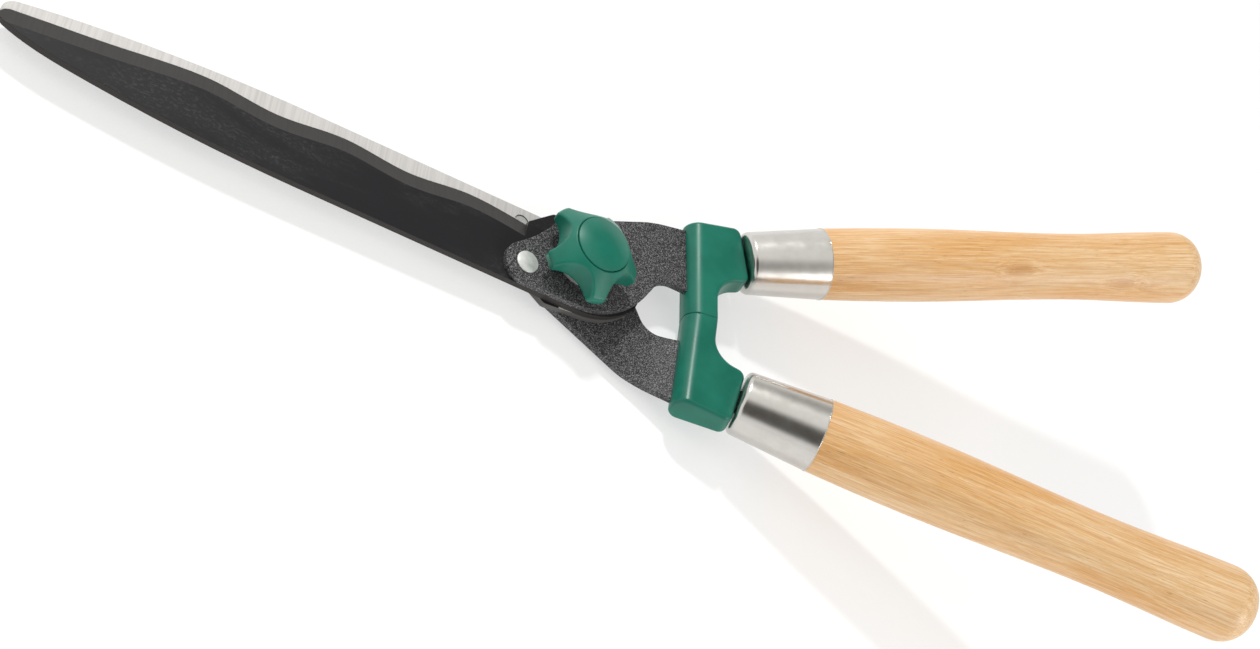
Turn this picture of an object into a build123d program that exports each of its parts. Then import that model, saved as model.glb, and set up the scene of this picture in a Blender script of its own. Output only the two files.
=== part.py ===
from build123d import *

# Hedge shears with wavy blades, cranked steel arms and turned wooden handles.
#
# Millimetres.  The tool lies on its back: X runs along it, blades towards -X and
# handles towards +X, and Z is the pivot axis with the tension knob on top.  The
# origin is where that axis meets the flat back of the pivot bolt's head.
#
# Two halves turn on one bolt.  The rear half is the lower blade, its arm and the
# -Y handle.  The front half lies on it and has the +Y handle.  They are drawn
# closed, with their buffers touching on the plane Y = 0.

import os
from math import atan2, cos, degrees, radians, sin, sqrt, tan

# ---- plates and the stack on the pivot ---------------------------------------
bolt_head_r = 9.5
bolt_head_t = 3.5
arm_t = 3.2
blade_t = 3.2
washer_r = 10.5
washer_t = 1.6
spring_r = 7.2
spring_t = 2.0
spring_slit = 1.0
bolt_r = 4.0              # M8 thread
neck_side = 8.0           # square neck under the bolt's head
nut_across_flats = 13.0
nut_t = 6.5
bolt_spare = 1.5          # thread that stands past the nut

# ---- clearances --------------------------------------------------------------
running = 0.05            # radial, round the pivot bolt
seat = 0.03               # rivets and ferrules
socket = 0.15             # arm in its sockets, nut and cap in the knob
loose = 0.25              # washers and knob round the bolt's thread
knob_gap = 0.4            # under the knob's rim
inset = 0.2               # arm inside the blade's outline

# ---- blades, in plan -----------------------------------------------------------
blade_reach = 248.4       # pivot to tip
spine_y = 20.6            # spine from the axis, beside the pivot
spine_lean = 0.7          # degrees that the spine closes in towards the tip
spine_straight = 130.0    # length of the straight spine
spine_mid = (-214.0, -12.7)
front_tip = (4.3, -1.2, 245)   # radius, centre from the axis, angle where the spine meets it
rear_tip = (5.4, -2.4, 258)
root_x = 3.5              # centre of the root's arcs
root_r = 38.0
root_tip_r = 14.0
wave_pitch = 59.0
wave_depth = 2.8          # crest to trough
wave_count = 3
first_crest = (-53.0, 15.0)
crest_lean = 1.15         # degrees that the line of crests closes in
edge_start = (-25.4, 12.8)
edge_straight = (-209.0, 7.6)  # past the last crest the edge runs straight to the tip
edge_lean = 8.0           # degrees of that straight edge
front_hump = (-13.4, 22.6)     # corner of the shoulder behind the cutting edge
rear_hump = (-11.2, 22.0)
hump_r = 3.0
bevel_w = 8.4
edge_land = 0.3           # thickness left at the cutting edge

# ---- arms, in plan ---------------------------------------------------------------
nose_x = -25.4
nose_r = 9.8
waist_lean = 37.0         # degrees of the edge that leaves the nose
waist_l = 12.5            # its length to the corner of the hollow behind it
waist_r = 65.0
shoulder_r = 10.0
front_shoulder, front_outer = (-12.0, 18.6), (36.0, 40.6)
rear_shoulder, rear_outer = (-12.0, 17.4), (33.0, 37.4)
outer_r = 60.0
hub_x = 1.0               # centre of the curve round the pivot
hub_r = 40.0
crotch_lean = 59.0        # degrees of the edge past the hub
crotch_y = 12.0
crotch_r = 12.0
bend_r = 60.0
neck_hidden = 6.0         # arm at its full width inside the buffer
neck_corner_r = 2.0
tang_bend_r = 4.0

# ---- handles ---------------------------------------------------------------------
handle_splay = 14.2       # degrees from the tool's axis, in plan
handle_rise = 20.0        # degrees from the blades' plane
rim_at = (120.0, 46.5)    # ferrule's open rim, in plan
rim_height = 24.6         # and its height over the plane where the blades meet
ferrule_l = 38.9
ferrule_front_r = 14.6
ferrule_rim_r = 17.0
ferrule_wall = 0.8
ferrule_shoulder_r = 2.5
tang_half = 5.6
tang_tip_half = 3.2
tang_l = 60.0             # past the rim, in plan
wood_l = 207.6            # rim to the domed end
wood_bore_r = 6.2
swell_r, swell_at = 17.8, 55.0
grip_at = 146.0
knuckle_l = 13.6          # domed end, past the widest place
front_grip = (16.7, 18.2, wood_l)  # radius at the grip and the knuckle, and length
rear_grip = (16.3, 17.6, wood_l + 2.6)
wood_end_r = 4.0          # flat left in the middle of the domed end

# ---- buffers, in the plane of the cranked arm ------------------------------------
buffer_gap = 0.6          # to the ferrule
buffer_l = 27.0           # along the handle
buffer_t = 12.0           # at the ferrule's end
buffer_top_lean = 9.0     # degrees that the top rises over the arm towards the limb
buffer_out = 15.7         # outer wall from the handle's axis, at the ferrule's end
buffer_flare = 4.5        # degrees that the outer wall opens towards the limb
buffer_in = 13.0          # inner wall from the handle's axis
limb_w = 15.6
limb_lean = 9.2           # degrees of its sides from square to the handle
limb_r = 12.0             # hollow between limb and body
buffer_wall = 1.5         # round the arm
buffer_corner_r = 4.0
buffer_nose_r = 7.0       # along the limb, above
buffer_chin_r = 5.0       # along the limb, below
buffer_edge_r = 1.8
seam_r = 0.6              # edges where the two limbs meet

# ---- knob --------------------------------------------------------------------------
knob_boss_r = 10.5
knob_rim_h = 4.0          # underside of the lobes over the boss's end
knob_base_r = 22.0
knob_r = 23.0
knob_wide_h = 8.0         # height of the widest part over the boss's end
knob_side_h = 9.6         # top of the side wall
knob_h = 17.2             # rim of the cap's seat
knob_seat_r = 13.3
lobe_count = 5
lobe_at = 67.0            # degrees
scoop_r = 12.5
scoop_depth_r = 15.2      # nearest that the scoops come to the axis
scoop_edge_r = 1.2
knob_web = 4.0            # under the nut
cap_r = 12.7
cap_t = 2.2
cap_dome = 0.9
cap_sunk = 1.6
skirt_wall = 1.2

# ---- rivets ------------------------------------------------------------------------
rivet_head_r = 5.1
rivet_rim_t = 0.5
rivet_dome = 0.6
rivet_r = 3.1
rivet_end_r = 3.5         # clinched end, in a counterbore of the blade
rivet_end_t = 1.0
rivet_sunk = 0.5
front_rivet_at = (-25.0, -10.4)
rear_rivet_at = (-27.2, -13.4)  # before the rear blade is turned over

# ---- levels ------------------------------------------------------------------------
rear_arm_z = bolt_head_t
mating_z = rear_arm_z + arm_t + blade_t
front_arm_z = mating_z + blade_t
washer_z = front_arm_z + arm_t
spring_z = washer_z + washer_t
knob_z = spring_z + knob_gap
nut_z = spring_z + spring_t + knob_web
cap_z = knob_z + knob_h - cap_sunk
bolt_top = nut_z + nut_t + bolt_spare

handle_run = Vector(cos(radians(handle_splay)), sin(radians(handle_splay)), 0)
handle_side = Vector(-handle_run.Y, handle_run.X, 0)
handle_dir = handle_run * cos(radians(handle_rise)) + Vector(0, 0, sin(radians(handle_rise)))
rim_centre = Vector(*rim_at, mating_z + rim_height)


# ---- helpers -------------------------------------------------------------------------
def polar(centre, radius, angle):
    """Point at a radius and an angle in degrees from a centre, in plan."""
    return (centre[0] + radius * cos(radians(angle)), centre[1] + radius * sin(radians(angle)))


def tangent_corner(centre, radius, start, end):
    """Corner where the tangents at two angles of a circle meet."""
    return polar(centre, radius / cos(radians((end - start) / 2)), (start + end) / 2)


def rounded_face(corners):
    """Face from (corner, radius) pairs; radius 0 stays sharp."""
    points = [corner for corner, _ in corners]
    radii = [radius for _, radius in corners]
    return make_face(FilletPolyline(*points, radius=radii, close=True).edges())


def turned_solid(profile):
    """Solid of revolution about Z from (radius, height) points."""
    return revolve(Plane.XZ * make_face(Polyline(*profile, close=True).edges()), Axis.Z)


def post(radius, low, high, at=(0, 0)):
    """Upright cylinder between two levels."""
    lift = Align.CENTER, Align.CENTER, Align.MIN
    return Pos(*at, low) * Cylinder(radius, high - low, align=lift)


def turned_over(shape):
    """A front blade's piece as the rear half's: half a turn about the X axis between the blades."""
    return shape.rotate(Axis((0, 0, mating_z), (1, 0, 0)), 180)


def on_handle(s, v):
    """Plan of a point s past the ferrule's rim and v outwards from the handle's axis."""
    return tuple(Vector(*rim_at) + handle_run * s + handle_side * v)[:2]


# ---- blades ----------------------------------------------------------------------------
def cutting_edge(tip_shape):
    """Wavy edge from the root to the tip, as one spline."""
    tip_r, tip_y, _ = tip_shape
    points = [edge_start]
    lean = tan(radians(crest_lean))
    for i in range(wave_count):
        x = first_crest[0] - i * wave_pitch
        y = first_crest[1] - i * wave_pitch * lean
        points.append((x, y))
        if i < wave_count - 1:
            points.append((x - wave_pitch / 2, y - wave_pitch / 2 * lean - wave_depth))
    points.append(edge_straight)
    points.append(polar((tip_r - blade_reach, tip_y), tip_r, 90 + edge_lean))
    level = (-1, -lean)
    straight = (-cos(radians(edge_lean)), -sin(radians(edge_lean)))
    waves = [level] * (2 * wave_count - 1)
    return Spline(*points, tangents=[(-1, 0.12), *waves, straight, straight])


def blade_outline(tip_shape, hump):
    """Front blade in plan, with its spine on -Y and its cutting edge on +Y."""
    tip_r, tip_y, leave = tip_shape
    edge = cutting_edge(tip_shape)
    tip = (tip_r - blade_reach, tip_y)
    back = Vector(-cos(radians(spine_lean)), sin(radians(spine_lean)))
    low = Vector(root_x, -spine_y)
    bend = low + back * spine_straight
    heading = (sin(radians(leave)), -cos(radians(leave)))
    tip_arc = CenterArc(tip, tip_r, 90 + edge_lean, leave - 90 - edge_lean)
    spine_curve = Spline(bend, spine_mid, polar(tip, tip_r, leave), tangents=[back, heading])

    arc_y = root_r - spine_y
    root_tip_x = root_x + sqrt((root_r - root_tip_r) ** 2 - arc_y**2)
    swing = degrees(atan2(arc_y, root_tip_x - root_x))
    root_low = CenterArc((root_x, arc_y), root_r, -90, 90 - swing)
    root_end = CenterArc((root_tip_x, 0), root_tip_r, -swing, 2 * swing)
    root_high = CenterArc((root_x, -arc_y), root_r, swing, 90 - swing)
    back_edge = FilletPolyline((root_x, spine_y), hump, edge_start, radius=hump_r)
    return make_face([edge, tip_arc, spine_curve, Line(bend, low), root_low, root_end, root_high]
                     + back_edge.edges())


def bevel(tip_shape):
    """What grinding takes off the blade's outer face, from the cutting edge inwards."""
    edge = cutting_edge(tip_shape)
    path = Wire([edge, Line(edge @ 1, edge @ 1 + (edge % 1) * 2 * bevel_w)])
    inboard = Vector(0, 0, 1).cross(edge % 0)
    start = Plane(origin=edge @ 0, x_dir=inboard, z_dir=edge % 0)
    slope = (blade_t - edge_land) / bevel_w
    over = bevel_w / 2
    wedge = Polyline((-over, edge_land - slope * over), (-over, 2 * blade_t),
                     (bevel_w + blade_t / slope, 2 * blade_t), close=True)
    return sweep(start * make_face(wedge.edges()), path)


def blade(rivet_at, tip_shape, hump):
    """Front blade, with its flat face down on the other blade."""
    body = extrude(blade_outline(tip_shape, hump), blade_t) - bevel(tip_shape)
    body -= post(bolt_r + running, 0, blade_t)
    body -= post(rivet_r + seat, 0, blade_t, rivet_at)
    body -= post(rivet_end_r + seat, 0, rivet_sunk + rivet_end_t, rivet_at)
    return Pos(0, 0, mating_z) * body


def rivet(at):
    """Domed rivet through front arm and blade, clinched below the blade's flat face."""
    low = mating_z + rivet_sunk
    top = front_arm_z + arm_t
    head = top + rivet_rim_t
    lines = Polyline((0, head + rivet_dome), (0, low), (rivet_end_r, low),
                     (rivet_end_r, low + rivet_end_t), (rivet_r, low + rivet_end_t),
                     (rivet_r, top), (rivet_head_r, top), (rivet_head_r, head))
    sphere_r = (rivet_head_r**2 + rivet_dome**2) / (2 * rivet_dome)
    dome = RadiusArc((rivet_head_r, head), (0, head + rivet_dome), -sphere_r)
    profile = make_face([*lines.edges(), dome])
    return Pos(*at, 0) * revolve(Plane.XZ * profile, Axis.Z)


# ---- arms --------------------------------------------------------------------------------
def arm_outline(shoulder, outer):
    """Arm of the +Y handle in plan: hub, neck and tang."""
    low = inset - spine_y
    nose_c = (nose_x, low + nose_r)
    waist = polar(polar(nose_c, nose_r, 90 + waist_lean), waist_l, waist_lean)
    hub_c = (hub_x, low + hub_r)
    leave = polar(hub_c, hub_r, crotch_lean - 90)
    crotch_x = leave[0] + (crotch_y - leave[1]) / tan(radians(crotch_lean))
    neck = -(ferrule_l + buffer_gap + buffer_l) * cos(radians(handle_rise))
    neck_x = on_handle(neck, 0)[0]
    return rounded_face([
        (tangent_corner(nose_c, nose_r, 90 + waist_lean, 270), nose_r),
        (tangent_corner(hub_c, hub_r, 270, 270 + crotch_lean), hub_r),
        ((crotch_x, crotch_y), crotch_r),
        ((neck_x + neck_hidden, crotch_y), neck_corner_r),
        (on_handle(neck + 2 * neck_hidden, -tang_half), tang_bend_r),
        (on_handle(tang_l, -tang_tip_half), tang_tip_half / 2),
        (on_handle(tang_l, tang_tip_half), tang_tip_half / 2),
        (on_handle(neck + 2 * neck_hidden, tang_half), tang_bend_r),
        (on_handle(neck + neck_hidden, buffer_out - buffer_wall), neck_corner_r),
        (outer, outer_r),
        (shoulder, shoulder_r),
        (waist, waist_r),
    ])


def arm_side(level, play):
    """Side view of a cranked arm whose hub lies on a level, along its handle."""
    half = arm_t / 2 + play
    middle = level + arm_t / 2 - rim_centre.Z
    slope = tan(radians(handle_rise))
    bend = middle / slope
    miter = half * tan(radians(handle_rise / 2))
    lift = half / cos(radians(handle_rise))
    far = 2 * wood_l
    lower = [(-far, middle - half), (bend + miter, middle - half), (far, far * slope - lift)]
    upper = [(far, far * slope + lift), (bend - miter, middle + half), (-far, middle + half)]
    radii = [0, bend_r + half, 0, 0, bend_r - half, 0]
    return rounded_face(list(zip(lower + upper, radii)))


def arm_plate(level, shape, play=0.0):
    """Cranked plate of the +Y handle, or with some play the socket it fits."""
    plan = arm_outline(*shape)
    if play:
        plan = offset(plan, play)
    height = rim_centre.Z + wood_l
    side = Plane(origin=rim_centre, x_dir=handle_run, z_dir=-handle_side) * arm_side(level, play)
    return extrude(plan, height) & extrude(side, wood_l, both=True)


def arm(level, shape, rivet_at):
    """Front or rear arm, before the rear one is mirrored."""
    body = arm_plate(level, shape)
    body -= post(rivet_r + seat, level, level + arm_t, rivet_at)
    return body


# ---- pivot -------------------------------------------------------------------------------
def pivot_bolt():
    """Flat-headed bolt with a square neck in the rear arm."""
    head_edge = 0.8
    thread_edge = 0.8
    head = turned_solid([(0, 0), (bolt_head_r - head_edge, 0), (bolt_head_r, head_edge),
                         (bolt_head_r, bolt_head_t), (0, bolt_head_t)])
    shank = turned_solid([(0, 0), (bolt_r, 0), (bolt_r, bolt_top - thread_edge),
                          (bolt_r - thread_edge, bolt_top), (0, bolt_top)])
    lift = Align.CENTER, Align.CENTER, Align.MIN
    neck = Pos(0, 0, rear_arm_z) * Box(neck_side, neck_side, arm_t, align=lift)
    return head + shank + neck


def spring_washer():
    """Split lock washer, flattened by the knob."""
    ring = post(spring_r, spring_z, spring_z + spring_t)
    ring -= post(bolt_r + loose, spring_z, spring_z + spring_t)
    slit = Box(spring_r, spring_slit, 3 * spring_t, align=(Align.MIN, Align.CENTER, Align.CENTER))
    return ring - Pos(0, 0, spring_z + spring_t / 2) * Rot(30, 0, 0) * slit


def washer():
    """Flat washer between the front arm and the lock washer."""
    return post(washer_r, washer_z, spring_z) - post(bolt_r + loose, washer_z, spring_z)


# ---- knob ----------------------------------------------------------------------------------
def hexagon(across_flats, low, high):
    """Hexagonal prism between two levels."""
    plan = RegularPolygon(across_flats / 2, 6, major_radius=False)
    return Pos(0, 0, low) * extrude(plan, high - low)


def nut():
    """Hexagon nut with chamfered corners, in the knob's socket."""
    corner_r = nut_across_flats / sqrt(3)
    flat_r = nut_across_flats / 2
    slope = (corner_r - flat_r) / 2
    top = nut_z + nut_t
    lens = turned_solid([(0, nut_z), (flat_r, nut_z), (corner_r, nut_z + slope),
                         (corner_r, top - slope), (flat_r, top), (0, top)])
    return (hexagon(nut_across_flats, nut_z, top) & lens) - post(bolt_r + running, nut_z, top)


def knob():
    """Star knob with a socket for the nut and a seat for its cap."""
    base = knob_z
    rim = base + knob_rim_h
    body = turned_solid([(0, rim), (knob_base_r, rim), (knob_r, base + knob_wide_h),
                         (knob_r - 0.7, base + knob_side_h), (knob_seat_r, base + knob_h),
                         (0, base + knob_h)])
    for i in range(lobe_count):
        middle = polar((0, 0), scoop_depth_r + scoop_r, lobe_at + (i + 0.5) * 360 / lobe_count)
        body -= post(scoop_r, base, base + knob_h, middle)
    outer = body.edges().filter_by(lambda edge: edge.center().Z < base + knob_h - socket)
    body = fillet(outer, scoop_edge_r) + post(knob_boss_r, base, rim)
    body -= post(spring_r + loose, base, nut_z - knob_web)
    body -= post(bolt_r + loose, base, nut_z)
    body -= hexagon(nut_across_flats + 2 * socket, nut_z, cap_z)
    body -= post(skirt_r() + socket, nut_z + nut_t, cap_z)
    body -= post(cap_r + socket, cap_z, base + knob_h + cap_t)
    return body


def skirt_r():
    """Outside of the cap's skirt, clear of the nut's corners."""
    return nut_across_flats / sqrt(3) + 1


def cap():
    """Domed cap with a skirt that snaps into the knob."""
    rim = cap_z + cap_t
    skirt_low = nut_z + nut_t + socket
    inner = skirt_r() - skirt_wall
    lines = Polyline((0, rim + cap_dome), (0, cap_z), (inner, cap_z), (inner, skirt_low),
                     (skirt_r(), skirt_low), (skirt_r(), cap_z), (cap_r, cap_z), (cap_r, rim))
    sphere_r = (cap_r**2 + cap_dome**2) / (2 * cap_dome)
    dome = RadiusArc((cap_r, rim), (0, rim + cap_dome), -sphere_r)
    return revolve(Plane.XZ * make_face([*lines.edges(), dome]), Axis.Z)


# ---- handles -------------------------------------------------------------------------------
def ferrule():
    """Tapered steel ferrule, closed in front round the tang."""
    taper = (ferrule_rim_r - ferrule_front_r) / ferrule_l
    outer = turned_solid([(0, -ferrule_l), (ferrule_front_r, -ferrule_l), (ferrule_rim_r, 0), (0, 0)])
    outer = fillet(outer.edges().filter_by(GeomType.CIRCLE).sort_by(Axis.Z)[0], ferrule_shoulder_r)
    wall = ferrule_wall * sqrt(1 + taper**2)
    deep = ferrule_wall - ferrule_l
    inner = turned_solid([(0, deep), (ferrule_front_r + ferrule_wall * taper - wall, deep),
                          (ferrule_rim_r - wall, 0), (0, 0)])
    inner = fillet(inner.edges().filter_by(GeomType.CIRCLE).sort_by(Axis.Z)[0],
                   ferrule_shoulder_r - ferrule_wall)
    return handle_plane * (outer - inner) - arm_plate(front_arm_z, front_shape, socket)


def wood(shape):
    """Turned handle with a spigot in the ferrule and a bore for the tang."""
    grip_r, knuckle_r, length = shape
    taper = (ferrule_rim_r - ferrule_front_r) / ferrule_l
    knuckle_at = length - knuckle_l
    spigot_r = ferrule_rim_r - ferrule_wall * sqrt(1 + taper**2) - seat
    spigot_l = ferrule_l - ferrule_wall - ferrule_shoulder_r
    form = Spline((ferrule_rim_r, 0), (swell_r, swell_at), (grip_r, grip_at), (knuckle_r, knuckle_at),
                  tangents=[(swell_r - ferrule_rim_r, swell_at / 2), (0, 1)])
    dome = EllipticalCenterArc((wood_end_r, knuckle_at), knuckle_r - wood_end_r, knuckle_l,
                               start_angle=0, arc_size=90)
    lines = Polyline((wood_end_r, length), (0, length), (0, -spigot_l),
                     (spigot_r - spigot_l * taper, -spigot_l), (spigot_r, 0), (ferrule_rim_r, 0))
    body = revolve(Plane.XZ * make_face([form, dome, *lines.edges()]), Axis.Z)
    bore_end = (tang_l + tang_half) / cos(radians(handle_rise))
    return handle_plane * (body - post(wood_bore_r, -spigot_l, bore_end))


def buffer(level, shape):
    """Moulded buffer round the arm, with a limb that reaches the other buffer."""
    right = -(ferrule_l + buffer_gap)
    left = right - buffer_l
    flared = buffer_out + buffer_l * tan(radians(buffer_flare))
    lean = tan(radians(limb_lean))
    reach = 2 * rim_at[1]
    far = left - lean * (flared + reach)
    inner = left - lean * (flared + buffer_in)
    plan = rounded_face([((right, buffer_out), buffer_corner_r), ((left, flared), 0),
                         ((far, -reach), 0), ((far + limb_w, -reach), 0),
                         ((inner + limb_w, -buffer_in), limb_r), ((right, -buffer_in), buffer_corner_r)])
    half = buffer_t / 2
    rise = half + (right - far) * tan(radians(buffer_top_lean))
    side = make_face(Polyline((right, -half), (far, -half), (far, rise), (right, half), close=True).edges())
    body = extrude(plan, rise) + extrude(plan, -half)
    body &= extrude(Plane.XZ * side, reach, both=True)
    limb_side = facing((left, flared, 0), (-cos(radians(limb_lean)), sin(radians(limb_lean)), 0))
    body = fillet(along(body, limb_side)[-1], buffer_nose_r)
    body = fillet(along(body, limb_side)[0], buffer_chin_r)
    top = facing((right, 0, half), (sin(radians(buffer_top_lean)), 0, cos(radians(buffer_top_lean))))
    under = facing((right, 0, -half), (0, 0, -1))
    wall = facing((left, flared, 0), (sin(radians(buffer_flare)), cos(radians(buffer_flare)), 0))
    rim = [edge for edge in body.edges() if any(lies_in(edge, plane) for plane in (top, under, wall))]
    body = fillet(rim, buffer_edge_r)
    body = arm_frame * body
    beyond = Pos(rim_centre.X, 0, rim_centre.Z) * Box(4 * reach, 4 * reach, 4 * reach,
                                                    align=(Align.CENTER, Align.MAX, Align.CENTER))
    body -= beyond
    seam = [edge for edge in body.edges() if lies_in(edge, Plane.XZ)]
    return fillet(seam, seam_r) - arm_plate(level, shape, socket)


def facing(point, normal):
    """Plane through a point, square to a direction."""
    return Plane(origin=point, z_dir=normal)


def lies_in(edge, plane):
    """Whether an edge lies in a plane."""
    return all(abs(plane.to_local_coords(edge @ at).Z) < seat for at in (0, 0.5, 1))


def along(body, plane):
    """The long edges of a limb's side, from the lowest up."""
    return [edge for edge in body.edges().sort_by(Axis.Z)
            if lies_in(edge, plane) and edge.length > 2 * buffer_l]


handle_plane = Plane(origin=rim_centre, x_dir=handle_side, z_dir=handle_dir)
arm_frame = Plane(origin=rim_centre, x_dir=handle_dir, z_dir=handle_dir.cross(handle_side))

front_shape = (front_shoulder, front_outer)
rear_shape = (rear_shoulder, rear_outer)
bolt_hole = post(bolt_r + running, front_arm_z, washer_z)
neck_hole = Box(neck_side + 2 * running, neck_side + 2 * running, 2 * arm_t)
square_hole = Pos(0, 0, rear_arm_z + arm_t / 2) * neck_hole
grip_ferrule = ferrule()
pieces = {
    "front_blade": blade(front_rivet_at, front_tip, front_hump),
    "front_arm": arm(front_arm_z, front_shape, front_rivet_at) - bolt_hole,
    "front_blade_rivet": rivet(front_rivet_at),
    "front_buffer": buffer(front_arm_z, front_shape),
    "front_ferrule": grip_ferrule,
    "front_handle": wood(front_grip),
    "rear_blade": turned_over(blade(rear_rivet_at, rear_tip, rear_hump)),
    "rear_arm": mirror(arm(rear_arm_z, rear_shape, rear_rivet_at), Plane.XZ) - square_hole,
    "rear_blade_rivet": turned_over(rivet(rear_rivet_at)),
    "rear_buffer": mirror(buffer(rear_arm_z, rear_shape), Plane.XZ),
    "rear_ferrule": mirror(grip_ferrule, Plane.XZ),
    "rear_handle": mirror(wood(rear_grip), Plane.XZ),
    "pivot_bolt": pivot_bolt(),
    "pivot_washer": washer(),
    "spring_washer": spring_washer(),
    "knob": knob(),
    "knob_nut": nut(),
    "knob_cap": cap(),
}

os.makedirs("parts", exist_ok=True)
for name, piece in pieces.items():
    piece.label = name
    export_step(piece, f"parts/{name}.step")
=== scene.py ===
from math import cos, radians, sin

import bpy
from mathutils import Euler, Matrix, Vector


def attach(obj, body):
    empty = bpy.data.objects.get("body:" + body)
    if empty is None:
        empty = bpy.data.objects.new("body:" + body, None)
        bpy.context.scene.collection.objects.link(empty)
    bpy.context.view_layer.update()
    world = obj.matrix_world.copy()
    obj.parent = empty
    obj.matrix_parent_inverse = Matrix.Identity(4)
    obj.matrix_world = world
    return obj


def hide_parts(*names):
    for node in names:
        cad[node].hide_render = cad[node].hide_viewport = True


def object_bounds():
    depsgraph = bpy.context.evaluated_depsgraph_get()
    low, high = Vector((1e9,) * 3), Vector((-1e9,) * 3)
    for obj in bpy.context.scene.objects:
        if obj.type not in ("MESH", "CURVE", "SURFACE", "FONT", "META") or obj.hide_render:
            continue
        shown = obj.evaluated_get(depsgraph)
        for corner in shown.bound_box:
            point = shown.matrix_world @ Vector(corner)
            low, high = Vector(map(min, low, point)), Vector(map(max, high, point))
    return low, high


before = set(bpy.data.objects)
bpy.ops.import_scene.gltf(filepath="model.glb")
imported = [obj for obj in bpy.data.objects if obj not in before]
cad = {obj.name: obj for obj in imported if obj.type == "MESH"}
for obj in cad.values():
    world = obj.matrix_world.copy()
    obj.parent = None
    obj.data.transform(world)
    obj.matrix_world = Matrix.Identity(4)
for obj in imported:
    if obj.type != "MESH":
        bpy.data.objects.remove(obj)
bounds_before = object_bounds()
scene = bpy.context.scene
mm = 0.001


# ---- Studio ----------------------------------------------------------------------
# The shears lie on the head of their pivot bolt, on a plain white table that glows a
# little.  Two soft boxes stand on either side and a pale room fills the shadows.
floor_size = 6.0
floor_white = (0.48, 0.48, 0.48, 1)
floor_glow = 0.52
room_white = (1.0, 1.0, 0.99, 1)
room_dark = (0.10, 0.095, 0.09, 1)
room_strength = 1.00
dark_openings = [(-0.32, -0.68, 0.62), (0.46, 0.50, 0.66)]
opening_rim, opening_core = 0.78, 0.93   # cosines from an opening's middle
horizon_low, horizon_high = 0.22, 0.42   # the room stays white below
work = Vector((60 * mm, 0, 20 * mm))
soft_boxes = {
    # name: (direction from the work, distance, size, power in watts)
    "soft_box_back": ((-0.38, 0.56, 0.74), 1.4, 0.11, 10.5),
    "soft_box_right": ((0.60, -0.68, 0.43), 1.4, 0.44, 5.5),
}


def put(tree, kind, inputs=None, **settings):
    """Adds a node, with its settings, and its inputs as numbers or links."""
    node = tree.nodes.new(kind)
    for key, value in settings.items():
        setattr(node, key, value)
    for key, value in (inputs or {}).items():
        if isinstance(value, bpy.types.NodeSocket):
            tree.links.new(value, node.inputs[key])
        else:
            node.inputs[key].default_value = value
    return node


def blend_of(tree, share, stops):
    """Colour ramp over a share, from (position, colour) stops."""
    ramp = put(tree, "ShaderNodeValToRGB", {"Fac": share})
    elements = ramp.color_ramp.elements
    while len(elements) < len(stops):
        elements.new(0.5)
    for element, (position, colour) in zip(elements, stops):
        element.position = position
        element.color = colour
    return ramp.outputs["Color"]


def light_room():
    """Pale room with dark openings, which the glossy parts mirror."""
    world = bpy.data.worlds.new("studio")
    world.use_nodes = True
    tree = world.node_tree
    tree.nodes.clear()
    towards = put(tree, "ShaderNodeTexCoord").outputs["Generated"]
    height = put(tree, "ShaderNodeSeparateXYZ", {0: towards}).outputs["Z"]
    horizon = blend_of(tree, height, [(horizon_low, room_white), (horizon_high, (0, 0, 0, 1))])
    sky = room_white
    for direction in dark_openings:
        nearness = put(tree, "ShaderNodeVectorMath", {0: towards, 1: Vector(direction).normalized()},
                       operation="DOT_PRODUCT").outputs["Value"]
        opening = blend_of(tree, nearness, [(opening_rim, room_white), (opening_core, room_dark)])
        sky = put(tree, "ShaderNodeMix", {0: 1.0, 6: sky, 7: opening}, data_type="RGBA",
                  blend_type="MULTIPLY").outputs[2]
    sky = put(tree, "ShaderNodeMix", {0: 1.0, 6: sky, 7: horizon}, data_type="RGBA",
              blend_type="LIGHTEN").outputs[2]
    glow = put(tree, "ShaderNodeBackground", {"Color": sky, "Strength": room_strength})
    put(tree, "ShaderNodeOutputWorld", {"Surface": glow.outputs[0]})
    scene.world = world


def hang_soft_box(name, direction, distance, size, power):
    """Square area light that faces the work."""
    lamp = bpy.data.lights.new(name, "AREA")
    lamp.size = size
    lamp.energy = power
    box = bpy.data.objects.new(name, lamp)
    away = Vector(direction).normalized()
    box.location = work + away * distance
    box.rotation_euler = away.to_track_quat("Z", "Y").to_euler()
    scene.collection.objects.link(box)


def lay_floor(height):
    """Wide plain floor under the shears."""
    half = floor_size / 2
    mesh = bpy.data.meshes.new("floor")
    corners = [(-half, -half, height), (half, -half, height), (half, half, height), (-half, half, height)]
    mesh.from_pydata(corners, [], [(0, 1, 2, 3)])
    paper = bpy.data.materials.new("white_paper")
    paper.use_nodes = True
    skin = paper.node_tree.nodes["Principled BSDF"]
    skin.inputs["Base Color"].default_value = floor_white
    skin.inputs["Roughness"].default_value = 0.9
    skin.inputs["Specular IOR Level"].default_value = 0.1
    skin.inputs["Emission Color"].default_value = (1, 1, 1, 1)
    skin.inputs["Emission Strength"].default_value = floor_glow
    mesh.materials.append(paper)
    floor = bpy.data.objects.new("floor", mesh)
    scene.collection.objects.link(floor)


light_room()
for name, (direction, distance, size, power) in soft_boxes.items():
    hang_soft_box(name, direction, distance, size, power)
lay_floor(bounds_before[0].z)
scene.view_settings.view_transform = "Standard"


# ---- Camera ------------------------------------------------------------------------
# It stands over the front of the blades and looks down along the tool.
camera_at = Vector((-264.5, -377.2, 485.0)) * mm
camera_turn = Euler((radians(30.08), radians(-34.71), radians(5.25)))
lens = 43.32

eye = bpy.data.cameras.new("camera")
eye.lens = lens
eye.sensor_width = 36
eye.clip_start = 0.01
camera = bpy.data.objects.new("camera", eye)
camera.location = camera_at
camera.rotation_euler = camera_turn
scene.collection.objects.link(camera)
scene.camera = camera


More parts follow.
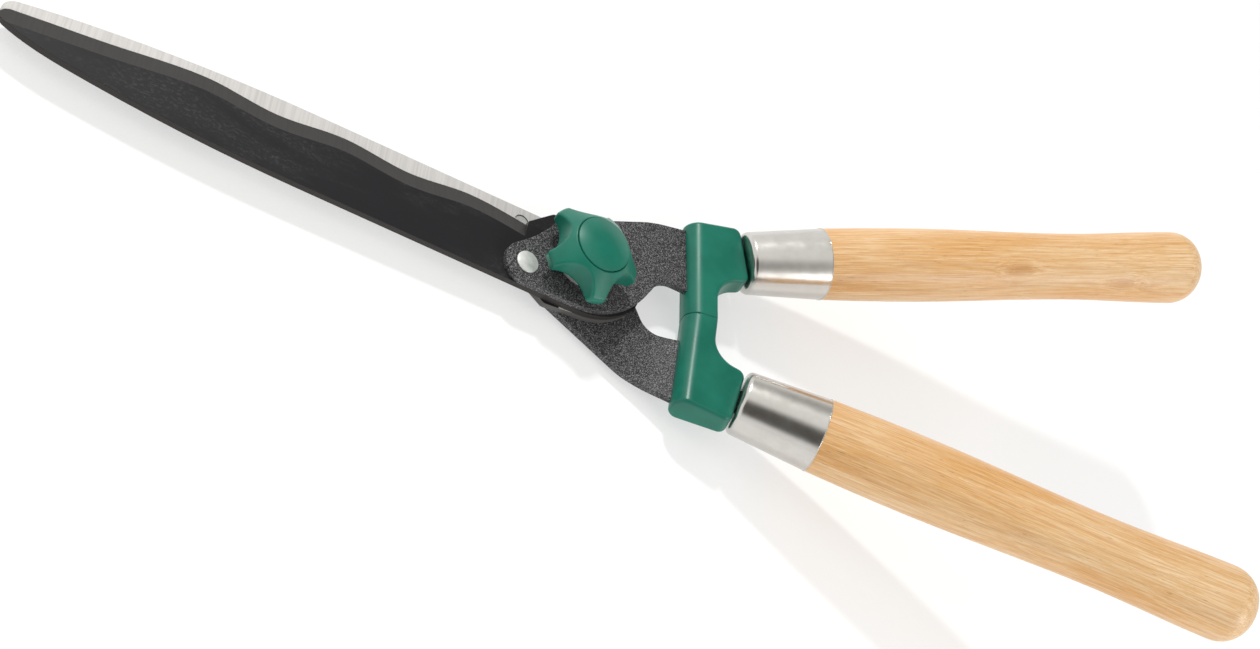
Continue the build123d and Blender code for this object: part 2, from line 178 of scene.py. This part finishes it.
# ---- Blades --------------------------------------------------------------------------
# Two plates of hardened steel under a dark baked finish, with a wavy cutting edge and
# a ground bevel.  The faces that slide on each other are ground bright, crosswise.
mating_z = 9.9 * mm
finish_dark = (0.0165, 0.0160, 0.0178, 1)
finish_worn = (0.105, 0.103, 0.105, 1)
# Painted sheen: the blades' sides are coloured lighter than their tops, the rear blade's most, standing in
# for light caught on their rims.
side_sheen_grey = {"front_blade": (0.036, 0.032, 0.030, 1), "rear_blade": (0.10, 0.097, 0.095, 1)}
bevel_grey = (0.036, 0.034, 0.033, 1)
bevel_pale = (0.052, 0.048, 0.047, 1)
ground_white = (0.60, 0.582, 0.568, 1)
ground_grey = (0.51, 0.495, 0.482, 1)
shoulder_from = 16.5 * mm  # the shoulder behind the edge isn't ground
shoulder_to = -4 * mm
bevel_facing = (0.90, 0.975)  # how far the ground bevel's normal points up or down
flat_facing = 0.99
level_play = 0.02 * mm


def start_finish(name):
    """New material, with its tree, its shader and its object coordinates."""
    made = bpy.data.materials.new(name)
    made.use_nodes = True
    tree = made.node_tree
    skin = tree.nodes["Principled BSDF"]
    place = put(tree, "ShaderNodeTexCoord").outputs["Object"]
    return made, tree, skin, place


def sums(tree, operation, a, b, clamp=False):
    """One arithmetic step."""
    step = put(tree, "ShaderNodeMath", {0: a, 1: b}, operation=operation, use_clamp=clamp)
    return step.outputs[0]


def between(tree, value, low, high):
    """1 where a value lies between two limits, else 0."""
    over = sums(tree, "GREATER_THAN", value, low)
    return sums(tree, "MULTIPLY", over, sums(tree, "LESS_THAN", value, high))


def scaled(tree, value, gain, base):
    """A value times a gain, over a base."""
    return sums(tree, "ADD", sums(tree, "MULTIPLY", value, gain), base)


def past(tree, value, limit, gain):
    """How far a value is past a limit, times a gain, from 0 to 1."""
    return sums(tree, "MULTIPLY", sums(tree, "SUBTRACT", value, limit), gain, clamp=True)


def speckle(tree, place, scale, detail=2.0, roughness=0.5, stretch=(1, 1, 1), distortion=0.0):
    """Noise of so many cells a metre, drawn out along the axes."""
    spread = put(tree, "ShaderNodeMapping", {"Vector": place, "Scale": stretch})
    noise = put(tree, "ShaderNodeTexNoise", {"Vector": spread.outputs[0], "Scale": scale, "Detail": detail,
                                             "Roughness": roughness, "Distortion": distortion})
    return noise.outputs["Fac"]


def mixed(tree, share, first, second):
    """Colour between two, by a share."""
    mix = put(tree, "ShaderNodeMix", data_type="RGBA")
    for socket, value in zip((mix.inputs[0], mix.inputs[6], mix.inputs[7]), (share, first, second)):
        if isinstance(value, bpy.types.NodeSocket):
            tree.links.new(value, socket)
        else:
            socket.default_value = value
    return mix.outputs[2]


def raise_by(tree, skin, height, distance, strength=1.0, round_r=None):
    """Relief from a height map, over edges rounded by a radius."""
    inputs = {"Height": height, "Distance": distance, "Strength": strength}
    if round_r:
        inputs["Normal"] = put(tree, "ShaderNodeBevel", {"Radius": round_r}, samples=6).outputs[0]
    relief = put(tree, "ShaderNodeBump", inputs)
    tree.links.new(relief.outputs[0], skin.inputs["Normal"])


def blade_finish(name, side):
    """Dark finish outside with a painted sheen on the sides, grey on the ground bevel, bright on the face
    that slides.
    """
    made, tree, skin, place = start_finish(name + "_steel")
    xyz = put(tree, "ShaderNodeSeparateXYZ", {0: place}).outputs
    height = xyz["Z"]
    behind_edge = sums(tree, "GREATER_THAN", sums(tree, "MULTIPLY", xyz["Y"], side), shoulder_from)
    on_shoulder = sums(tree, "MULTIPLY", behind_edge, sums(tree, "LESS_THAN", xyz["X"], shoulder_to))
    facing = put(tree, "ShaderNodeNewGeometry").outputs["Normal"]
    upright = sums(tree, "ABSOLUTE", put(tree, "ShaderNodeSeparateXYZ", {0: facing}).outputs["Z"], 0)
    on_bevel = between(tree, upright, *bevel_facing)
    level = between(tree, height, mating_z - level_play, mating_z + level_play)
    flat = sums(tree, "MULTIPLY", level, sums(tree, "GREATER_THAN", upright, flat_facing))
    on_ground = sums(tree, "MULTIPLY", flat, sums(tree, "SUBTRACT", 1, on_shoulder))

    scuffs = speckle(tree, place, 30, 4.0, 0.65, (0.5, 1.6, 1), 0.5)
    fine = speckle(tree, place, 900, 5.0, 0.75, (0.6, 1.0, 1))
    patches = past(tree, scuffs, 0.46, 5.0)
    specks = past(tree, fine, 0.50, 5.0)
    worn = sums(tree, "MULTIPLY", patches, scaled(tree, specks, 0.45, 0.06))
    dark = mixed(tree, worn, finish_dark, finish_worn)
    grinding = speckle(tree, place, 1500, 2.0, 0.5, (1.0, 0.03, 0.03))
    bevel = mixed(tree, grinding, bevel_grey, bevel_pale)
    lines = speckle(tree, place, 1100, 2.0, 0.6, (1.0, 0.02, 0.02))
    bright = blend_of(tree, lines, [(0.30, ground_grey), (0.62, ground_white)])
    # Faces that stand upright take the lighter side greys, a painted sheen over the same dark finish.
    finish_and_side_sheen = mixed(tree, sums(tree, "LESS_THAN", upright, 0.5), dark, side_sheen_grey[name])
    colour = mixed(tree, on_ground, mixed(tree, on_bevel, finish_and_side_sheen, bevel), bright)
    tree.links.new(colour, skin.inputs["Base Color"])
    metal = sums(tree, "ADD", sums(tree, "MULTIPLY", on_ground, 0.3), sums(tree, "MULTIPLY", on_bevel, 0.15))
    tree.links.new(metal, skin.inputs["Metallic"])
    gloss = scaled(tree, scuffs, 0.25, 0.34)
    gloss = sums(tree, "ADD", gloss, sums(tree, "MULTIPLY", on_ground, 0.2))
    tree.links.new(gloss, skin.inputs["Roughness"])
    skin.inputs["Specular IOR Level"].default_value = 0.15
    ground = sums(tree, "MAXIMUM", on_ground, on_bevel)
    relief = sums(tree, "ADD", sums(tree, "MULTIPLY", lines, ground), sums(tree, "MULTIPLY", fine, 0.4))
    raise_by(tree, skin, relief, 0.012 * mm, 0.6, 0.25 * mm)
    return made


def wear(material, *names):
    """Gives CAD nodes a material."""
    for name in names:
        cad[name].data.materials.clear()
        cad[name].data.materials.append(material)


wear(blade_finish("front_blade", 1), "front_blade")
wear(blade_finish("rear_blade", -1), "rear_blade")


# ---- Arms ------------------------------------------------------------------------------
# Thick steel plate, stamped out, cranked towards the handles and sprayed with hammer
# paint.  The paint is mottled dark and silver, and it bridges the edges.
paint_black = (0.006, 0.006, 0.007, 1)
paint_grey = (0.062, 0.061, 0.065, 1)
paint_silver = (0.30, 0.29, 0.30, 1)
paint_cells = 2000


def hammer_paint():
    """Mottled metallic paint with a dimpled skin."""
    made, tree, skin, place = start_finish("hammer_paint")
    mottle = speckle(tree, place, paint_cells, 3.5, 0.62, distortion=0.4)
    colour = blend_of(tree, mottle, [(0.40, paint_black), (0.52, paint_grey), (0.64, paint_silver)])
    tree.links.new(colour, skin.inputs["Base Color"])
    skin.inputs["Metallic"].default_value = 0.35
    tree.links.new(scaled(tree, mottle, 0.3, 0.42), skin.inputs["Roughness"])
    raise_by(tree, skin, mottle, 0.10 * mm, 0.55, 0.7 * mm)
    return made


wear(hammer_paint(), "front_arm", "rear_arm")


# ---- Bolt, washers, nut and rivets -----------------------------------------------------
# Zinc-plated steel.  Each blade hangs on its arm by one domed rivet, and the bolt, its
# washers and the nut inside the knob clamp the two halves together.
zinc_pale = (0.76, 0.77, 0.74, 1)
zinc_dull = (0.60, 0.61, 0.59, 1)


def zinc_plate():
    """Cloudy pale zinc."""
    made, tree, skin, place = start_finish("zinc_plate")
    clouds = speckle(tree, place, 260, 5.0, 0.6)
    tree.links.new(blend_of(tree, clouds, [(0.3, zinc_dull), (0.65, zinc_pale)]), skin.inputs["Base Color"])
    skin.inputs["Metallic"].default_value = 0.6
    tree.links.new(scaled(tree, clouds, 0.25, 0.30), skin.inputs["Roughness"])
    raise_by(tree, skin, speckle(tree, place, 1800, 3.0), 0.02 * mm, 0.5, 0.3 * mm)
    return made


wear(zinc_plate(), "front_blade_rivet", "rear_blade_rivet", "pivot_bolt", "pivot_washer", "spring_washer",
     "knob_nut")


# ---- Buffers ------------------------------------------------------------------------------
# Tough green plastic, moulded round each arm.  Their limbs meet between the handles and
# take the knock when the blades close.
green = (0.010, 0.162, 0.110, 1)
green_deep = (0.007, 0.130, 0.088, 1)


def green_plastic(name, crown=0):
    """Satin moulded plastic, faintly uneven; crown is how steeply its top falls from the axis."""
    made, tree, skin, place = start_finish(name)
    clouds = speckle(tree, place, 55, 3.0, 0.55)
    tree.links.new(blend_of(tree, clouds, [(0.35, green_deep), (0.62, green)]), skin.inputs["Base Color"])
    grain = speckle(tree, place, 2200, 2.0)
    tree.links.new(scaled(tree, clouds, 0.14, 0.27), skin.inputs["Roughness"])
    skin.inputs["Specular IOR Level"].default_value = 0.32
    height = sums(tree, "MULTIPLY", grain, 0.006 * mm)
    if crown:
        xyz = put(tree, "ShaderNodeSeparateXYZ", {0: place}).outputs
        out = sums(tree, "ADD", sums(tree, "POWER", xyz["X"], 2), sums(tree, "POWER", xyz["Y"], 2))
        height = sums(tree, "SUBTRACT", height, sums(tree, "MULTIPLY", out, crown))
    raise_by(tree, skin, height, 1, 1, 0.4 * mm)
    return made


wear(green_plastic("buffer_plastic"), "front_buffer", "rear_buffer")


# ---- Tension knob ----------------------------------------------------------------------
# Five lobes round a deep boss, moulded in the same green plastic with every edge soft.
# A slightly domed cap snaps into it, over the nut.
knob_voxel = 0.35 * mm
knob_soft_steps = 1
cap_crown = 11.0


def soften(node, voxel, steps):
    """Copy of a CAD node with its edges melted round, as a moulding comes out."""
    form = cad[node].copy()
    form.data = cad[node].data.copy()
    form.name = node + "_moulding"
    form.parent = None
    scene.collection.objects.link(form)
    weld = form.modifiers.new("weld", "WELD")
    weld.merge_threshold = 0.001 * mm
    grid = form.modifiers.new("grid", "REMESH")
    grid.mode = "VOXEL"
    grid.voxel_size = voxel
    grid.use_smooth_shade = True
    melt = form.modifiers.new("melt", "SMOOTH")
    melt.factor = 0.5
    melt.iterations = steps
    depsgraph = bpy.context.evaluated_depsgraph_get()
    made = bpy.data.meshes.new_from_object(form.evaluated_get(depsgraph))
    form.modifiers.clear()
    form.data = made
    form.data.name = form.name
    return form


knob_plastic = green_plastic("knob_plastic")
knob_form = soften("knob", knob_voxel, knob_soft_steps)
knob_form.data.materials.clear()
knob_form.data.materials.append(knob_plastic)
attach(knob_form, "tension_knob")
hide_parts("knob")
wear(knob_plastic, "knob")
wear(green_plastic("cap_plastic", cap_crown), "knob_cap")


# ---- Ferrules -----------------------------------------------------------------------------
# Drawn steel cups, nickel plated, that bind the wood where the tang enters.  Each rim is
# rolled over into a fine bead.
rim_at = Vector((120.0, 46.5, 34.5)) * mm
handle_splay = 14.2
handle_rise = 20.0
rim_r = 17.0 * mm
bead_r = 0.22 * mm
nickel = (0.69, 0.68, 0.66, 1)
nickel_warm = (0.52, 0.49, 0.45, 1)


def nickel_plate():
    """Bright plating, drawn lines and faint handling marks."""
    made, tree, skin, place = start_finish("nickel_plate")
    marks = speckle(tree, place, 110, 6.0, 0.72)
    drawn = speckle(tree, place, 700, 2.0, 0.5, (0.08, 1, 1))
    tree.links.new(mixed(tree, marks, nickel_warm, nickel), skin.inputs["Base Color"])
    skin.inputs["Metallic"].default_value = 1.0
    tree.links.new(scaled(tree, marks, 0.18, 0.13), skin.inputs["Roughness"])
    raise_by(tree, skin, drawn, 0.01 * mm, 0.4)
    return made


def handle_frame(side):
    """Matrix of a handle: origin at the ferrule's rim, X along the handle; side is 1 or -1."""
    splay = radians(handle_splay) * side
    rise = radians(handle_rise)
    along = Vector((cos(splay) * cos(rise), sin(splay) * cos(rise), sin(rise)))
    across = Vector((-sin(splay), cos(splay), 0))
    turn = Matrix((along, across, along.cross(across))).transposed().to_4x4()
    return Matrix.Translation(Vector((rim_at.x, rim_at.y * side, rim_at.z))) @ turn


def bead_tree(material):
    """Geometry Nodes: a bead swept round a circle, with its radii as inputs."""
    tree = bpy.data.node_groups.new("rolled_rim", "GeometryNodeTree")
    face = tree.interface
    face.new_socket("Geometry", in_out="OUTPUT", socket_type="NodeSocketGeometry")
    face.new_socket("Rim radius", in_out="INPUT", socket_type="NodeSocketFloat")
    face.new_socket("Bead radius", in_out="INPUT", socket_type="NodeSocketFloat")
    sizes = tree.nodes.new("NodeGroupInput").outputs
    rim = put(tree, "GeometryNodeCurvePrimitiveCircle", {"Resolution": 160, "Radius": sizes["Rim radius"]})
    bead = put(tree, "GeometryNodeCurvePrimitiveCircle", {"Resolution": 12, "Radius": sizes["Bead radius"]})
    swept = put(tree, "GeometryNodeCurveToMesh", {"Curve": rim.outputs[0], "Profile Curve": bead.outputs[0]})
    smooth = put(tree, "GeometryNodeSetShadeSmooth", {"Geometry": swept.outputs[0]})
    whole = put(tree, "GeometryNodeRealizeInstances", {"Geometry": smooth.outputs[0]})
    dressed = put(tree, "GeometryNodeSetMaterial", {"Geometry": whole.outputs[0], "Material": material})
    put(tree, "NodeGroupOutput", {0: dressed.outputs[0]})
    return tree


def grow(name, tree, body, slot, placing, **sizes):
    """Plain mesh made by a node tree, put in its place on a body."""
    piece = bpy.data.objects.new(name, bpy.data.meshes.new(name))
    scene.collection.objects.link(piece)
    maker = piece.modifiers.new("maker", "NODES")
    maker.node_group = tree
    for item in tree.interface.items_tree:
        if item.in_out == "INPUT":
            maker[item.identifier] = sizes[item.name.replace(" ", "_").lower()]
    depsgraph = bpy.context.evaluated_depsgraph_get()
    made = bpy.data.meshes.new_from_object(piece.evaluated_get(depsgraph))
    piece.modifiers.clear()
    piece.data = made
    made.transform(placing)
    made.name = name
    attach(piece, body)


plating = nickel_plate()
wear(plating, "front_ferrule", "rear_ferrule")
rolled_rim = bead_tree(plating)
face_on = Matrix.Rotation(radians(90), 4, "Y")
for end, body, side in (("front", "front_half", 1), ("rear", "rear_half", -1)):
    placing = handle_frame(side) @ Matrix.Translation((-bead_r, 0, 0)) @ face_on
    grow(end + "_ferrule_bead", rolled_rim, body, end + "_ferrule", placing,
         rim_radius=rim_r, bead_radius=bead_r)


# ---- Wooden handles ----------------------------------------------------------------------
# Turned from a pale, straight-grained hardwood, sanded and given a thin clear lacquer.
# The grain runs along each handle.
wood_honey = (0.66, 0.345, 0.112, 1)
wood_pale = (0.75, 0.520, 0.290, 1)
# The palest tone tops the grain's streaks and also colours the painted sheen of the lacquer.
wood_white_and_sheen = (0.84, 0.680, 0.490, 1)
wood_line = (0.46, 0.215, 0.072, 1)
wood_pore = (0.30, 0.140, 0.055, 1)
pith = Vector((0, 46, -30)) * mm       # the growth rings bend round this line, beside the handle
ring_scale = 105.0
knots = {"front_wood": [(98, -8, 12), (158, -12, 8)], "rear_wood": [(20, 14, 10)]}  # from the rim
knot_r = 9 * mm
knot_stretch = (0.45, 1, 1)
knot_pull = -0.6


def lacquered_wood(name, side):
    """Straight grain along one handle, parting round small knots, with pale flecks of painted sheen."""
    made, tree, skin, place = start_finish(name)
    turned = handle_frame(side)
    grain = put(tree, "ShaderNodeMapping", {"Vector": place, "Location": turned.translation,
                                            "Rotation": turned.to_euler()}, vector_type="TEXTURE").outputs[0]
    heart = 0
    for spot in knots[name]:
        apart = put(tree, "ShaderNodeVectorMath", {0: grain, 1: Vector(spot) * mm},
                    operation="SUBTRACT").outputs[0]
        drawn = put(tree, "ShaderNodeVectorMath", {0: apart, 1: knot_stretch},
                    operation="MULTIPLY").outputs[0]
        far = put(tree, "ShaderNodeVectorMath", {0: drawn}, operation="LENGTH").outputs["Value"]
        near = put(tree, "ShaderNodeMapRange", {"Value": far, "From Min": 0, "From Max": knot_r, "To Min": 1,
                                                "To Max": 0}, interpolation_type="SMOOTHERSTEP").outputs[0]
        pull = sums(tree, "MULTIPLY", near, knot_pull)
        grain = put(tree, "ShaderNodeVectorMath", {0: apart, 1: pull, 2: grain},
                    operation="MULTIPLY_ADD").outputs[0]
        heart = sums(tree, "MAXIMUM", heart, sums(tree, "POWER", near, 2.5))

    shifted = put(tree, "ShaderNodeMapping", {"Vector": grain, "Location": pith,
                                              "Scale": (0.10, 1, 1)}).outputs[0]
    rings = put(tree, "ShaderNodeTexWave", {"Vector": shifted, "Scale": ring_scale, "Distortion": 5.0,
                                            "Detail": 3.0, "Detail Scale": 0.6, "Detail Roughness": 0.6},
                wave_type="RINGS", rings_direction="X").outputs["Fac"]
    patches = speckle(tree, grain, 34, 4.0, 0.6, (0.22, 1, 1), 0.8)
    fibres = speckle(tree, grain, 1700, 5.0, 0.75, (0.020, 1, 1), 0.06)
    sheen_flecks = speckle(tree, grain, 1400, 5.0, 0.75, (0.025, 1, 1), 0.06)
    pores = speckle(tree, grain, 1600, 3.0, 0.6, (0.10, 1, 1))
    ground = blend_of(tree, patches, [(0.42, wood_honey), (0.58, wood_pale)])
    streaks = blend_of(tree, fibres, [(0.37, wood_line), (0.47, wood_honey), (0.57, wood_pale),
                                      (0.68, wood_white_and_sheen)])
    colour = mixed(tree, 0.52, ground, streaks)
    late = past(tree, rings, 0.72, 2.6)
    colour = mixed(tree, sums(tree, "MULTIPLY", late, 0.30), colour, wood_line)
    # Painted sheen: pale flecks inside the paler patches stand in for the lacquer's glints along the grain.
    sheen_patches = sums(tree, "SUBTRACT", sums(tree, "MULTIPLY", patches, 2.2), 0.7, clamp=True)
    painted_sheen = sums(tree, "MULTIPLY", past(tree, sheen_flecks, 0.52, 6.0), sheen_patches)
    colour = mixed(tree, painted_sheen, colour, wood_white_and_sheen)
    dashes = sums(tree, "MULTIPLY", sums(tree, "SUBTRACT", 0.36, pores), 12.0, clamp=True)
    colour = mixed(tree, sums(tree, "MULTIPLY", dashes, 0.6), colour, wood_pore)
    depth = sums(tree, "SUBTRACT", 1.6, sums(tree, "MULTIPLY", fibres, 2))
    stain = sums(tree, "MULTIPLY", heart, depth, clamp=True)
    colour = mixed(tree, stain, colour, wood_line)
    tree.links.new(colour, skin.inputs["Base Color"])
    tree.links.new(scaled(tree, fibres, 0.3, 0.22), skin.inputs["Roughness"])
    skin.inputs["Coat Weight"].default_value = 0.2
    skin.inputs["Coat Roughness"].default_value = 0.38
    skin.inputs["Specular IOR Level"].default_value = 0.35
    relief = sums(tree, "ADD", fibres, sums(tree, "MULTIPLY", dashes, -0.6))
    raise_by(tree, skin, relief, 0.06 * mm, 0.6)
    return made


wear(lacquered_wood("front_wood", 1), "front_handle")
wear(lacquered_wood("rear_wood", -1), "rear_handle")
